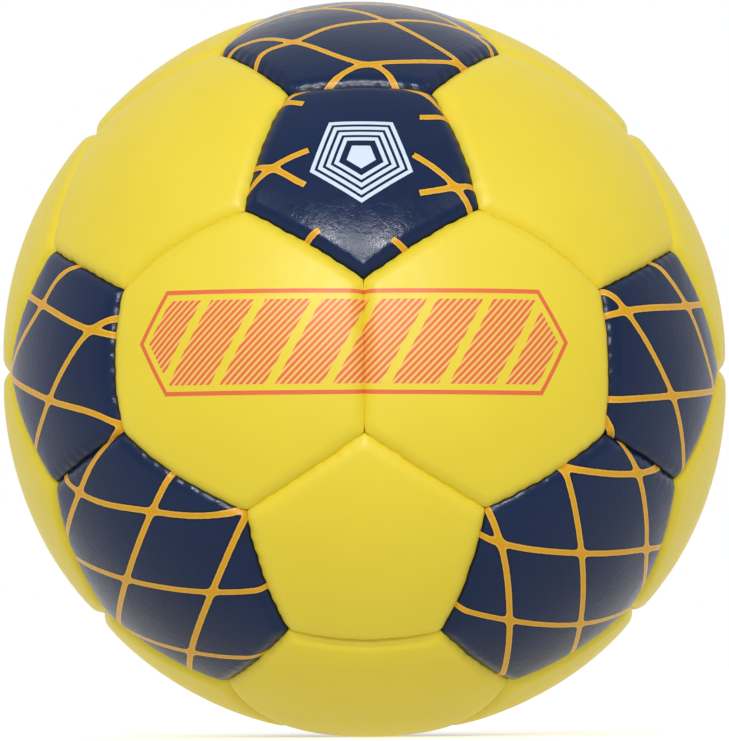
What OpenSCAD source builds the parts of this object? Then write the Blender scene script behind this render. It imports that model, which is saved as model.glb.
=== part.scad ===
// Handball of 32 hand-stitched panels: a truncated icosahedron blown up round a rubber bladder.
// The centre of the ball is the origin, +Z is up, and the front faces -Y.
// Lengths are in millimetres and angles in degrees.

/* [Ball] */
// Diameter over the crowns of two opposite hexagon panels
ball_d = 188; // [160:1:200]
// How far from the ball's centre a hexagon's crown is centred: the further, the more each panel bulges
crown_offset = 14; // [8:1:18]

/* [Panels] */
// Thickness of the synthetic leather skin
skin_t = 1.2; // [0.9:0.1:1.6]
// Thickness of the foam behind a hexagon's crown
foam_t = 2.9; // [2.4:0.1:4]
// Thickness of the textile lining behind the foam
lining_t = 1.2; // [0.8:0.1:1.8]
// Glue line between two layers
glue_t = 0.12; // [0.06:0.02:0.2]
// Gap between the two skins of a seam
seam_gap = 0.1; // [0.06:0.02:0.2]
// Radius that a skin's edge rolls over on its way down into the seam
roll_r = 4; // [3:0.1:5]
// Angle that the edge has turned through where it meets the seam
roll_turn = 54; // [45:1:65]

/* [Stitching] */
// Diameter of the waxed thread that runs along each side of a seam
thread_d = 0.9; // [0.8:0.1:1.1]
// How much of that diameter is pressed flat where the thread lies on the flange
thread_press = 0.2; // [0.15:0.05:0.3]
// Diameter of the same thread drawn tight through its hole
stitch_d = 0.6; // [0.4:0.05:0.65]
// Room round the thread in its hole, and beside the flange that it lies on
thread_clear = 0.1; // [0.06:0.02:0.2]
// Distance from stitch to stitch
stitch_pitch = 4; // [3.5:0.5:7]
// Height of the stitches above the folded edge of the skin
stitch_rise = 1.4; // [1.1:0.1:1.7]
// Distance from a corner of the panel to the end of its thread
thread_end = 3; // [2:0.5:5]

/* [Bladder] */
// Wall of the rubber bladder
bladder_t = 0.8; // [0.6:0.1:1.2]
// Radius of the patch that balances the valve
balance_r = 14; // [10:1:18]
// Thickness of that patch
balance_t = 0.9; // [0.6:0.1:1.4]

/* [Valve] */
// Diameter of the inflation needle, which the valve's plug grips
needle_d = 2; // [1.8:0.1:2.2]
// Depth of the needle's channel in the plug
channel_len = 9; // [6:1:10]
// Diameter of the plug
plug_d = 5.5; // [4.5:0.5:6.5]
// Length of the plug
plug_len = 13; // [12:1:15]
// Wall of rubber round the plug
stem_wall = 1.75; // [1.25:0.25:2.5]
// Radius of the valve's flange, which is glued on the bladder
flange_r = 12.5; // [10:0.5:15]
// Thickness of that flange
flange_t = 1; // [0.7:0.1:1.1]
// Radius of the neck, which passes the foam
neck_r = 4; // [3.5:0.25:5]
// Radius of the nose, which shows in the skin's hole
nose_r = 2.5; // [2:0.1:3]
// Depth of the nose's face below the skin's outer face
nose_sink = 0.3; // [0.1:0.1:0.6]
// Radius of the patch that seals the stem inside the bladder
patch_r = 15; // [12:0.5:18]
// Thickness of that patch
patch_t = 0.8; // [0.6:0.1:1.2]

/* [Hidden] */
$fn = 64;
// How far a cut runs past what it cuts
overrun = 1;
// Room between the valve's parts and the holes that they sit in
valve_clear = 0.1;
// How far a rolled edge's ring stands proud of the crown, so that the two cross cleanly
roll_lift = 0.05;
// Width of the slit that closes the needle's channel, and its length across
slit_w = 0.1;
slit_len = 2.4;
// How much wider than the needle the way in through the nose is
lead_in = 0.2;

yellow = "#E6D650";
navy = "#28385A";
foam_white = "#E9E6DC";
cloth_white = "#D8D2C0";
thread_tan = "#C9B98C";
bladder_black = "#2B2A2C";
rubber_black = "#1E1E20";

golden_share = (1 + sqrt(5)) / 2;

// Each panel's name, the direction of its centre and its colour.
HEXAGONS = [
    ["hex_front_left", [-1 / golden_share, -golden_share, 0], yellow],
    ["hex_front_right", [1 / golden_share, -golden_share, 0], yellow],
    ["hex_front_upper_left", [-1, -1, 1], yellow],
    ["hex_front_upper_right", [1, -1, 1], yellow],
    ["hex_front_lower_left", [-1, -1, -1], navy],
    ["hex_front_lower_right", [1, -1, -1], navy],
    ["hex_top_front", [0, -1 / golden_share, golden_share], navy],
    ["hex_top_back", [0, 1 / golden_share, golden_share], yellow],
    ["hex_left_upper", [-golden_share, 0, 1 / golden_share], yellow],
    ["hex_left_lower", [-golden_share, 0, -1 / golden_share], yellow],
    ["hex_right_upper", [golden_share, 0, 1 / golden_share], yellow],
    ["hex_right_lower", [golden_share, 0, -1 / golden_share], yellow],
    ["hex_bottom_front", [0, -1 / golden_share, -golden_share], yellow],
    ["hex_bottom_back", [0, 1 / golden_share, -golden_share], navy],
    ["hex_back_left", [-1 / golden_share, golden_share, 0], yellow],
    ["hex_back_right", [1 / golden_share, golden_share, 0], yellow],
    ["hex_back_upper_left", [-1, 1, 1], navy],
    ["hex_back_upper_right", [1, 1, 1], navy],
    ["hex_back_lower_left", [-1, 1, -1], yellow],
    ["hex_back_lower_right", [1, 1, -1], yellow]
];
PENTAGONS = [
    ["pent_front_upper", [0, -golden_share, 1], navy],
    ["pent_front_lower", [0, -golden_share, -1], yellow],
    ["pent_left_front", [-golden_share, -1, 0], navy],
    ["pent_right_front", [golden_share, -1, 0], navy],
    ["pent_top_left", [-1, 0, golden_share], yellow],
    ["pent_top_right", [1, 0, golden_share], yellow],
    ["pent_bottom_left", [-1, 0, -golden_share], yellow],
    ["pent_bottom_right", [1, 0, -golden_share], yellow],
    ["pent_left_back", [-golden_share, 1, 0], navy],
    ["pent_right_back", [golden_share, 1, 0], navy],
    ["pent_back_upper", [0, golden_share, 1], yellow],
    ["pent_back_lower", [0, golden_share, -1], navy]
];
VALVE_PANEL = "pent_back_upper";
VALVE_DIR = [0, golden_share, 1];

function unit(v) = v / norm(v);
function share_edge(a, b) = a != b && unit(a) * unit(b) > cos(45);

// Directions of the hexagons, and the pairs of panels that share a seam.
HEX_DIRS = [for (p = HEXAGONS) p[1]];
PENT_DIRS = [for (p = PENTAGONS) p[1]];
HEX_HEX_SEAMS = [
    for (i = [0 : len(HEX_DIRS) - 1], j = [0 : len(HEX_DIRS) - 1])
        if (j > i && share_edge(HEX_DIRS[i], HEX_DIRS[j])) [HEX_DIRS[i], HEX_DIRS[j]]
];
HEX_PENT_SEAMS = [for (h = HEX_DIRS, p = PENT_DIRS) if (share_edge(h, p)) [h, p]];

// Angle from a panel's axis to the middle of its edge, and half the angle that an edge spans.
hex_tilt = acos(unit(HEX_DIRS[0]) * unit(HEX_DIRS[1])) / 2;
pent_tilt = acos(unit(HEX_DIRS[0]) * unit(PENT_DIRS[0])) - hex_tilt;
edge_half = atan(1 / (3 * golden_share));

// The crown of each kind of panel: a sphere on the panel's axis. The two meet every seam in one circle.
ball_r = ball_d / 2;
hex_crown_c = crown_offset;
hex_crown_r = ball_r - hex_crown_c;
pent_crown_c = hex_crown_c * cos(hex_tilt) / cos(pent_tilt);
pent_crown_r = sqrt(pow(hex_crown_r, 2) - pow(hex_crown_c, 2) + pow(pent_crown_c, 2));

// Each kind of panel as its number of edges, its tilt, and its crown's centre and radius.
HEX = [6, hex_tilt, hex_crown_c, hex_crown_r];
PENT = [5, pent_tilt, pent_crown_c, pent_crown_r];

// The layers behind a hexagon's crown, from the bladder outwards.
bladder_r = ball_r - skin_t - foam_t - lining_t - 3 * glue_t;
lining_in = bladder_r + glue_t;
lining_out = lining_in + lining_t;
foam_in = lining_out + glue_t;

// Depths from the plane of the seam.
skin_out = seam_gap / 2;
skin_in = skin_out + skin_t;
roll_in = skin_out + roll_r * sin(roll_turn);
thread_flat = skin_in + thread_clear;
thread_z = thread_flat + thread_d / 2 - thread_press;
pad_side = max(roll_in, thread_z + thread_d / 2 + thread_clear);

// The row of stitches along an edge.
stitch_r = lining_in + stitch_rise;
hole_d = stitch_d + 2 * thread_clear;
thread_half = edge_half - thread_end / stitch_r * 180 / PI;
stitch_step = stitch_pitch / stitch_r * 180 / PI;
stitches = floor((2 * thread_half - hole_d / stitch_r * 180 / PI) / stitch_step) + 1;
STITCH_ANGLES = [for (i = [0 : stitches - 1]) (i - (stitches - 1) / 2) * stitch_step];

// Levels of the valve along its own axis, from the nose down to the stem's end.
crown_top = pent_crown_c + pent_crown_r;
nose_top = crown_top - nose_sink;
neck_top = crown_top - skin_t - glue_t;
flange_in = lining_in;
flange_out = flange_in + flange_t;
stem_r = plug_d / 2 + valve_clear + stem_wall;
plug_top = neck_top - stem_wall;
plug_bottom = plug_top - plug_len;
bladder_in = bladder_r - bladder_t;

// Turns +Z to the direction dir, and +X towards the direction side.
module aim(dir, side) {
    z = unit(dir);
    x = unit(side - (side * z) * z);
    y = cross(z, x);
    multmatrix([[x[0], y[0], z[0], 0], [x[1], y[1], z[1], 0], [x[2], y[2], z[2], 0], [0, 0, 0, 1]])
        children();
}

// Aims a panel, with its first edge towards a hexagon.
module aim_panel(dir) {
    neighbours = [for (h = HEX_DIRS) if (share_edge(h, dir)) h];
    aim(dir, neighbours[0]) children();
}

// Puts +X on the middle of edge k and +Z square to the plane of its seam, into the panel.
module at_edge(kind, k) {
    rotate([0, 0, k * 360 / kind[0]]) rotate([0, kind[1] - 90, 0]) children();
}

// All that lies less than depth from the planes of a panel's seams.
module outside_seams(kind, depth) {
    for (k = [0 : kind[0] - 1])
        at_edge(kind, k) translate([-ball_d, -ball_d, depth - 2 * ball_d]) cube(2 * ball_d);
}

// What a roll of radius r takes off the crown along one edge: a ring that follows the crown.
module roll_cut(kind, r) {
    crown_x = kind[2] * cos(kind[1]);
    ring_r = roll_lift + sqrt(pow(kind[3] - roll_r, 2) - pow(kind[2] * sin(kind[1]) - roll_in, 2));
    translate([crown_x, 0, 0]) rotate([0, 0, -2 * edge_half]) rotate_extrude(angle = 4 * edge_half)
        difference() {
            translate([ring_r, -overrun]) square([r + overrun, roll_in + overrun]);
            translate([ring_r, roll_in]) circle(r);
        }
}

// The pillow inside a panel's crown, rolled edges and seams, drawn in all round by inset.
module pillow(kind, inset) {
    difference() {
        translate([0, 0, kind[2]]) sphere(kind[3] - inset);
        outside_seams(kind, skin_out + inset);
        for (k = [0 : kind[0] - 1]) at_edge(kind, k) roll_cut(kind, roll_r - inset);
    }
}

// The awl holes through the flange of one edge.
module stitch_holes() {
    for (a = STITCH_ANGLES)
        rotate([0, 0, a]) translate([stitch_r, 0, -overrun]) cylinder(d = hole_d, h = skin_in + 2 * overrun);
}

// A skin: a tray whose edges roll over and fold in as flanges, down to the bladder.
module skin(kind) {
    difference() {
        pillow(kind, 0);
        pillow(kind, skin_t);
        sphere(lining_in);
        for (k = [0 : kind[0] - 1]) at_edge(kind, k) stitch_holes();
    }
}

// A layer of foam between the skin's inner face and the lining.
module foam_pad(kind) {
    difference() {
        translate([0, 0, kind[2]]) sphere(kind[3] - skin_t - glue_t);
        outside_seams(kind, pad_side);
        sphere(foam_in);
    }
}

// A layer of cloth between the foam and the bladder.
module lining(kind) {
    difference() {
        sphere(lining_out);
        outside_seams(kind, pad_side);
        sphere(lining_in);
    }
}

// The thread that runs along one flange, pressed flat on it.
module thread_run() {
    rotate([0, 0, -thread_half]) rotate_extrude(angle = 2 * thread_half) difference() {
        translate([stitch_r, thread_z]) circle(d = thread_d);
        translate([stitch_r - thread_d, thread_flat - thread_d]) square([2 * thread_d, thread_d]);
    }
}

// The thread of one seam: a run along each flange, and the stitches that join the two through the holes.
module seam_thread() {
    thread_run();
    mirror([0, 0, 1]) thread_run();
    for (a = STITCH_ANGLES)
        rotate([0, 0, a]) translate([stitch_r, 0, -thread_z]) cylinder(d = stitch_d, h = 2 * thread_z);
}

// A round disc cut out of the shell between two spheres.
module shell_disc(r_in, r_out, r) {
    difference() {
        intersection() {
            sphere(r_out);
            cylinder(r = r, h = ball_d);
        }
        sphere(r_in);
    }
}

module hex_panel(panel) {
    color(panel[2]) aim_panel(panel[1]) skin(HEX);
}

module pent_panel(panel) {
    color(panel[2]) aim_panel(panel[1]) difference() {
        skin(PENT);
        if (panel[0] == VALVE_PANEL) cylinder(r = nose_r + valve_clear, h = ball_d);
    }
}

module hex_foam_pads() {
    color(foam_white) for (d = HEX_DIRS) aim_panel(d) foam_pad(HEX);
}

module pent_foam_pads() {
    color(foam_white) for (d = PENT_DIRS) aim_panel(d) difference() {
        foam_pad(PENT);
        if (d == VALVE_DIR) cylinder(r = neck_r + valve_clear, h = ball_d);
    }
}

module hex_linings() {
    color(cloth_white) for (d = HEX_DIRS) aim_panel(d) lining(HEX);
}

module pent_linings() {
    color(cloth_white) for (d = PENT_DIRS) aim_panel(d) difference() {
        lining(PENT);
        if (d == VALVE_DIR) cylinder(r = flange_r + valve_clear, h = ball_d);
    }
}

module seam_threads_hex_hex() {
    color(thread_tan) for (s = HEX_HEX_SEAMS) aim(s[0], s[1]) at_edge(HEX, 0) seam_thread();
}

module seam_threads_hex_pent() {
    color(thread_tan) for (s = HEX_PENT_SEAMS) aim(s[0], s[1]) at_edge(HEX, 0) seam_thread();
}

module bladder() {
    color(bladder_black) aim_panel(VALVE_DIR) difference() {
        sphere(bladder_r);
        sphere(bladder_in);
        cylinder(r = stem_r + valve_clear, h = ball_d);
    }
}

module balance_patch() {
    color(rubber_black) aim_panel(-VALVE_DIR)
        shell_disc(bladder_in - glue_t - balance_t, bladder_in - glue_t, balance_r);
}

// The valve's housing: nose, neck, flange and stem in one, with the plug's pocket open at the stem's end.
module valve_body() {
    color(rubber_black) aim_panel(VALVE_DIR) difference() {
        union() {
            cylinder(r = nose_r, h = nose_top);
            cylinder(r = neck_r, h = neck_top);
            cylinder(r = stem_r, h = flange_in + flange_t / 2);
            shell_disc(flange_in, flange_out, flange_r);
        }
        cylinder(r = ball_r, h = plug_bottom);
        cylinder(d = plug_d + 2 * valve_clear, h = plug_top);
        cylinder(d = needle_d + 2 * lead_in, h = ball_d);
    }
}

// The plug: a blind channel that grips the needle, closed by a slit that only the needle opens.
module valve_plug() {
    color(thread_tan) aim_panel(VALVE_DIR) difference() {
        translate([0, 0, plug_bottom]) cylinder(d = plug_d, h = plug_len);
        translate([0, 0, plug_top - channel_len]) cylinder(d = needle_d, h = channel_len + overrun);
        translate([-slit_len / 2, -slit_w / 2, plug_bottom - overrun])
            cube([slit_len, slit_w, plug_len - channel_len + overrun + slit_w]);
    }
}

// The washer that seals the stem inside the bladder.
module valve_patch() {
    color(rubber_black) aim_panel(VALVE_DIR) difference() {
        shell_disc(bladder_in - glue_t - patch_t, bladder_in - glue_t, patch_r);
        cylinder(r = stem_r + valve_clear, h = ball_d);
    }
}

for (p = HEXAGONS) hex_panel(p);
for (p = PENTAGONS) pent_panel(p);
hex_foam_pads();
pent_foam_pads();
hex_linings();
pent_linings();
seam_threads_hex_hex();
seam_threads_hex_pent();
bladder();
balance_patch();
valve_body();
valve_plug();
valve_patch();
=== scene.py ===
"""A hand-stitched handball: 32 panels of polyurethane leather, sewn over foam, cloth and a rubber bladder.

The panels are worked out here; the foam, linings, threads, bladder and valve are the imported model's own.
Sizes are in millimetres, and in metres on the stage. +Z is up and the ball's front faces -Y.
"""

import bpy
import numpy as np
from mathutils import Matrix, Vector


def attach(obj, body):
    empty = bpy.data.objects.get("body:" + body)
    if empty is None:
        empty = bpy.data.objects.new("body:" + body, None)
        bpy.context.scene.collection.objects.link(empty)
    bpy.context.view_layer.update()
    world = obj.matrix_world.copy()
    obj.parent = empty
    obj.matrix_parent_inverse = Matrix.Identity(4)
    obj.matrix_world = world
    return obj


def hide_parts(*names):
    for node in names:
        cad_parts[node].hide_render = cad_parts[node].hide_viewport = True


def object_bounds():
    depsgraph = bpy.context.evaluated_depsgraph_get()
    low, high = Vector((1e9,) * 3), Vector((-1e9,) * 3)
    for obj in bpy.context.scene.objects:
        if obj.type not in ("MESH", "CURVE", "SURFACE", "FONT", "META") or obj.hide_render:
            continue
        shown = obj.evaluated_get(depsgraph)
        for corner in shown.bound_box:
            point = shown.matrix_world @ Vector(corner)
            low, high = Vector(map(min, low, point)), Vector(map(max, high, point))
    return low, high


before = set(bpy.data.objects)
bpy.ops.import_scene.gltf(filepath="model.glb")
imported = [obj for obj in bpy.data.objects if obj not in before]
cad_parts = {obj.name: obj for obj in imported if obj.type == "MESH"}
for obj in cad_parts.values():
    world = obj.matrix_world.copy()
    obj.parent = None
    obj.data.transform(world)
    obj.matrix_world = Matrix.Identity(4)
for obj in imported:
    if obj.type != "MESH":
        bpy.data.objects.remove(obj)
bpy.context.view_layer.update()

MM = 0.001
GOLDEN = (1 + 5**0.5) / 2

# The photograph's frame, the ball's centre in it, and its scale where the ball is.
IMAGE_W, IMAGE_H = 729, 741
BALL_PX = (364.4, 371.9)
PX_PER_MM = 3.878
# The photographed ball is a little out of round. The rows are where a point goes that lies one unit across
# the view, and where one goes that lies one unit up it.
MISSHAPE = np.array([[0.996, -0.005], [-0.005, 1.0072]])
# It also stands a little higher round its top: by how much, and how far down, as shares of its radius.
TOP_RISE, TOP_WIDE = 0.012, 0.08
# A long lens, a little below the ball's middle. Pitch, yaw and roll turn the ball in the view.
CAMERA_FAR = 1880.0
PITCH, YAW, ROLL = np.radians((-2.2, -0.12, 0.39))

# The crowns of the panels: spheres centred on each panel's axis, which meet every seam in one circle. Then
# the angles from a hexagon's and a pentagon's axis to the middle of an edge, and half an edge's own.
BALL_R = 94.0
CROWN_OFFSET = 9.0
HEX_TILT = np.arccos(5**0.5 / 3) / 2
PENT_TILT = np.arccos(np.sqrt((5 + 2 * 5**0.5) / 15)) - HEX_TILT
EDGE_HALF = np.arctan(1 / (3 * GOLDEN))
# How uneven the crowns are: their swells and their ripples, and the shortest and longest waves of each. The
# ripples fade towards the seam, to RIPPLE_LEFT of their height.
SWELL, SWELL_WAVES = 0.11, (26, 60)
RIPPLE, RIPPLE_WAVES = 0.022, (7, 15)
RIPPLE_IN, RIPPLE_LEFT = 3.0, 0.3
WAVES = 12

# The skin, half the gap at a seam, and the edge, which rolls over a large circle, then over the lip's small
# one: how far from the seam each starts, and its radius. From SAG_IN on the skin sags towards the seam.
SKIN = 1.15
HALF_GAP = 0.01
ROLL_IN, ROLL_R = 3.6, 5.0
LIP_IN, LIP_R = 0.06, 0.3
SAG, SAG_IN = 0.3, 9.0
# The flange folded down into the seam: the radius of its tip, where the tip's two rows lie, the other rows as
# shares of the way down and up again, and how much thicker it makes the skin at its root.
TIP_R = 88.75
TIP_ROWS = (0.3, 0.95)
DOWN_SHARES = (0.25, 0.5, 0.75, 0.93)
UP_SHARES = (0.93, 0.6, 0.25, 0)
ROOT, ROOT_IN = 0.4, 2.0
# The same flange on the flat map: how far beyond the lip its root is, its length, and its tip's two rows.
FLAT_ROOT, FLAT_FLANGE, FLAT_TIP = 0.4, 2.0, (2.6, 3.2)
# The corners: how far from one they are rounded, how far it draws the skin in, and over what distances
# along the seam and away from it.
CORNER_ROUND = 1.2
CORNER_PULL, CORNER_SPREAD, PULL_IN = 0.15, 1.2, 1.5
# The valve's hole, and the rows of its rounded rim: how far outside the hole and how far under the skin.
HOLE_R = 2.6
HOLE_RIM = ((0, 0.3), (0.06, 0.1), (0.25, 0.02))
# The rows of a panel's grid: how far apart on the crown, how far they stop short of its middle, and how
# many on the shoulder, the roll and the lip. The inner face has few. COLUMNS are those along each edge.
CROWN_STEP, MIDDLE_ROOM = 1.3, 0.7
SHOULDER_ROWS, ROLL_ROWS, LIP_ROWS = 9, 14, 5
INNER_ROWS = (1.7, 2.5, 3.5, 5, 8, 13, 19)
COLUMNS = 56

# The stitches: their pitch, how deep each draws the seam down and how near the seam. How hard a stitch draws
# varies slowly along the seam, and none is nearer a corner than STILL_IN.
STITCH_PITCH = 4.0
PUCKER, PUCKER_IN = 0.16, 2.0
DRAW, DRAW_SWING, DRAW_WAVES = 0.8, 0.35, (9.7, 15.1)
STILL_IN = 2.5
# How far a seam strays sideways: a kink at each stitch and three slow waves. SWAY_IN is how far from the
# seam the skin follows them, and BOW_IN how far it follows the bow of the whole seam.
KINK = 0.07
WANDER, WANDER_WAVES = 0.0588, (8.5, 13.0, 23.0)
SWAY_IN, BOW_IN = 2.4, 8.0

# The corners of the seams that the photograph shows: their pixels, their distance from the ball's centre, and
# how far at most a corner was sewn off its regular place.
CORNER_PX = [
    (289, 97), (431.3, 95.1), (245.8, 212.2), (478.1, 210.1), (363.7, 279.2), (364.5, 432.3), (247, 510),
    (484.6, 507.3), (289.8, 626.5), (440, 628.2), (124.5, 290), (123.9, 432.2), (596, 290.6), (604.3, 433),
    (61.5, 252.8), (667, 251.5), (64.9, 479.4), (669.6, 478), (220.7, 57.3), (499, 57), (96.7, 134.5),
    (626.6, 136), (107.3, 613.2), (634.9, 607.3), (227.7, 680), (506.6, 676),
]
CORNER_R = 91.0
CORNER_OFF = 1.6

# The radius at which the prints are laid out, how many lines of the net a panel can carry, and the distance
# that stands for no line at all.
INK_R = 93.6
NET_LINES = 6
NO_LINE = 99.0

HEXAGONS = {
    "hex_front_left": (-1 / GOLDEN, -GOLDEN, 0),
    "hex_front_right": (1 / GOLDEN, -GOLDEN, 0),
    "hex_front_upper_left": (-1, -1, 1),
    "hex_front_upper_right": (1, -1, 1),
    "hex_front_lower_left": (-1, -1, -1),
    "hex_front_lower_right": (1, -1, -1),
    "hex_top_front": (0, -1 / GOLDEN, GOLDEN),
    "hex_top_back": (0, 1 / GOLDEN, GOLDEN),
    "hex_left_upper": (-GOLDEN, 0, 1 / GOLDEN),
    "hex_left_lower": (-GOLDEN, 0, -1 / GOLDEN),
    "hex_right_upper": (GOLDEN, 0, 1 / GOLDEN),
    "hex_right_lower": (GOLDEN, 0, -1 / GOLDEN),
    "hex_bottom_front": (0, -1 / GOLDEN, -GOLDEN),
    "hex_bottom_back": (0, 1 / GOLDEN, -GOLDEN),
    "hex_back_left": (-1 / GOLDEN, GOLDEN, 0),
    "hex_back_right": (1 / GOLDEN, GOLDEN, 0),
    "hex_back_upper_left": (-1, 1, 1),
    "hex_back_upper_right": (1, 1, 1),
    "hex_back_lower_left": (-1, 1, -1),
    "hex_back_lower_right": (1, 1, -1),
}
PENTAGONS = {
    "pent_front_upper": (0, -GOLDEN, 1),
    "pent_front_lower": (0, -GOLDEN, -1),
    "pent_left_front": (-GOLDEN, -1, 0),
    "pent_right_front": (GOLDEN, -1, 0),
    "pent_top_left": (-1, 0, GOLDEN),
    "pent_top_right": (1, 0, GOLDEN),
    "pent_bottom_left": (-1, 0, -GOLDEN),
    "pent_bottom_right": (1, 0, -GOLDEN),
    "pent_left_back": (-GOLDEN, 1, 0),
    "pent_right_back": (GOLDEN, 1, 0),
    "pent_back_upper": (0, GOLDEN, 1),
    "pent_back_lower": (0, GOLDEN, -1),
}
VALVE_PANEL = "pent_back_upper"

# The flat map of a panel: the middle and half the width of its large and of its small part, and its margin.
LARGE_MAP, SMALL_MAP = (0.4, 0.39), (0.9, 0.09)
MAP_MARGIN = 1.02

# How far in mm the middle of a seam was sewn off its regular place, towards its second panel.
SEAM_BOWS = {
    ("hex_front_left", "pent_left_front"): 1.2,
    ("hex_front_left", "hex_front_lower_left"): 0.9,
    ("hex_front_left", "hex_front_upper_left"): 1.4,
    ("hex_front_left", "pent_front_upper"): 0.3,
    ("hex_front_right", "pent_front_upper"): 0.3,
    ("hex_front_right", "hex_front_upper_right"): 1.3,
    ("hex_front_right", "pent_right_front"): 0.3,
    ("hex_front_right", "hex_front_lower_right"): 0.4,
    ("pent_front_lower", "hex_front_lower_left"): 0.7,
    ("pent_front_lower", "hex_front_lower_right"): 0.7,
    ("pent_front_lower", "hex_bottom_front"): 1.2,
    ("pent_front_upper", "hex_front_upper_left"): 0.7,
    ("pent_front_upper", "hex_front_upper_right"): 0.7,
    ("hex_front_lower_left", "hex_left_lower"): 0.9,
    ("hex_bottom_front", "pent_bottom_left"): 1.3,
    ("hex_bottom_front", "pent_bottom_right"): 1.3,
}
# How many mm lower the first panel's edge lies than the second's in the middle of their seam, and how far
# from the seam the skin follows that step.
SEAM_STEPS = {("hex_bottom_front", "pent_front_lower"): 1.4}
STEP_IN = 1.6

# The navy panels of the front, and the panel at the back that each becomes by a half turn about X.
FRONT_TO_BACK = {
    "pent_front_upper": "pent_back_lower",
    "pent_left_front": "pent_left_back",
    "pent_right_front": "pent_right_back",
    "hex_front_lower_left": "hex_back_upper_left",
    "hex_front_lower_right": "hex_back_upper_right",
    "hex_top_front": "hex_bottom_back",
}
BACK_TO_FRONT = {back: front for front, back in FRONT_TO_BACK.items()}
BADGE_PANELS = ("pent_front_upper", "pent_back_lower")
BAND_PANELS = ("hex_front_left", "hex_front_right", "hex_back_left", "hex_back_right")

# The net's lines on each navy panel, as pixels of the photograph read along each line.
NET_PX = {
    "pent_left_front": [
        [(26.7, 294.6), (42, 304.5), (91, 330), (116, 336)],
        [(73.4, 263), (56.8, 279), (42, 304.5), (14, 357)],
        [(119.5, 313.5), (91, 330), (62.7, 371), (49.6, 400), (34, 450)],
        [(13, 380), (49.6, 400), (113, 424), (124, 432)],
        [(118, 427.6), (101.5, 449)],
    ],
    "hex_front_lower_left": [
        [(101.5, 446), (94.4, 457), (79, 492.5), (66, 534)],
        [(65, 482), (79, 492.5), (152, 511.4), (196, 516), (245, 512.6)],
        [(168.7, 476), (152, 511.4), (127.4, 578.7), (118, 621)],
        [(245.4, 515), (212.4, 591.6), (191, 652), (188.8, 673)],
        [(70.8, 556), (127.4, 578.7), (212.4, 591.6), (266.6, 590.5)],
        [(118, 626), (191, 652), (262, 659)],
    ],
    "hex_front_lower_right": [
        [(558.5, 467.7), (638.7, 473.6), (658.8, 470)],
        [(629, 449), (638.7, 473.6), (645.8, 517), (646.3, 549), (643.4, 590.5)],
        [(565.6, 467.7), (580.9, 552.7), (579.7, 623.5), (572.7, 654)],
        [(488.9, 508), (500.7, 543.3), (509.4, 620), (504, 674)],
        [(480.6, 537.4), (500.7, 543.3), (580.9, 552.7), (646.3, 549), (664.7, 546.8)],
        [(452.3, 608), (509.4, 620), (579.7, 623.5), (615, 616.4)],
    ],
    "pent_right_front": [
        [(657, 261.5), (686.8, 305), (708, 362), (714, 385)],
        [(606, 316), (626.5, 311), (682, 306.4), (705.7, 304)],
        [
            (602, 290.5), (608, 290.3), (614.5, 295.5), (626.5, 311),
            (660.8, 369), (671.8, 394.6), (684.7, 465),
        ],
        [(608, 400.5), (671.8, 395.8), (714, 391)],
        [(609.5, 414), (617, 439)],
    ],
    "hex_top_front": [
        [(227, 49.7), (260, 40), (293.4, 42.6), (364, 64), (374.5, 66), (400.5, 86)],
        [(251, 66), (265, 52), (293.4, 42.6), (331, 28), (384, 22), (436, 23.7), (481, 35.5)],
        [(232, 39), (255.5, 26), (312, 10.6), (364, 14), (384, 21), (424, 40), (466.7, 65)],
        [(322, 86), (333, 79), (345, 72), (356, 67), (366, 65), (419, 61.5), (460, 61.5)],
        [(286, 10.6), (312, 10.6), (338, 6.2), (364, 4.9), (394, 6.4), (424, 12), (460, 27)],
    ],
    "pent_front_upper": [
        [(287.5, 100.6), (304, 103), (361, 110), (419, 117), (445, 116)],
        [(249.6, 184.6), (271, 168), (323, 145.5), (360, 138), (398, 148), (456, 187), (472.7, 209)],
        [(256.7, 165.6), (271, 168), (305, 184.6), (360, 200), (419, 193), (456, 187), (473.8, 184.6)],
        [(304, 241), (319, 229.5), (355, 222), (393, 239), (405, 247)],
        [(274, 101), (289, 94.5), (306.5, 87.3)],
        [(412, 88), (421, 91.2), (429.5, 96), (440, 104)],
    ],
}
# Where the net stops on each side of the upper front panel's badge: one pair of pixels a line. The last two
# lines don't come near it, so their pairs lie past their ends.
BARE_PX = [
    ((304, 103), (419, 117)),
    ((308, 150), (413, 156)),
    ((305, 184.6), (419, 193)),
    ((319, 229.5), (393, 239)),
    ((360, 80), (370, 80)),
    ((360, 80), (370, 80)),
]


# Directions and lines


def unit(v):
    """Vectors scaled to length one along the last axis."""
    v = np.asarray(v, float)
    return v / np.linalg.norm(v, axis=-1, keepdims=True)


def view_axes():
    """Rows are the view's right, up and towards-the-eye directions in the ball's frame.

    Yaw about the ball's upright axis, then pitch about the view's right, then roll about the line of sight,
    applied to a ball seen straight from the front, where right is +X, up is +Z and the eye is at -Y.
    """
    turn = np.array(
        Matrix.Rotation(ROLL, 3, "Z") @ Matrix.Rotation(PITCH, 3, "X") @ Matrix.Rotation(YAW, 3, "Y")
    )
    straight = np.array([[1, 0, 0], [0, 0, 1], [0, -1, 0]])
    return turn @ straight


VIEW = view_axes()


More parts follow.
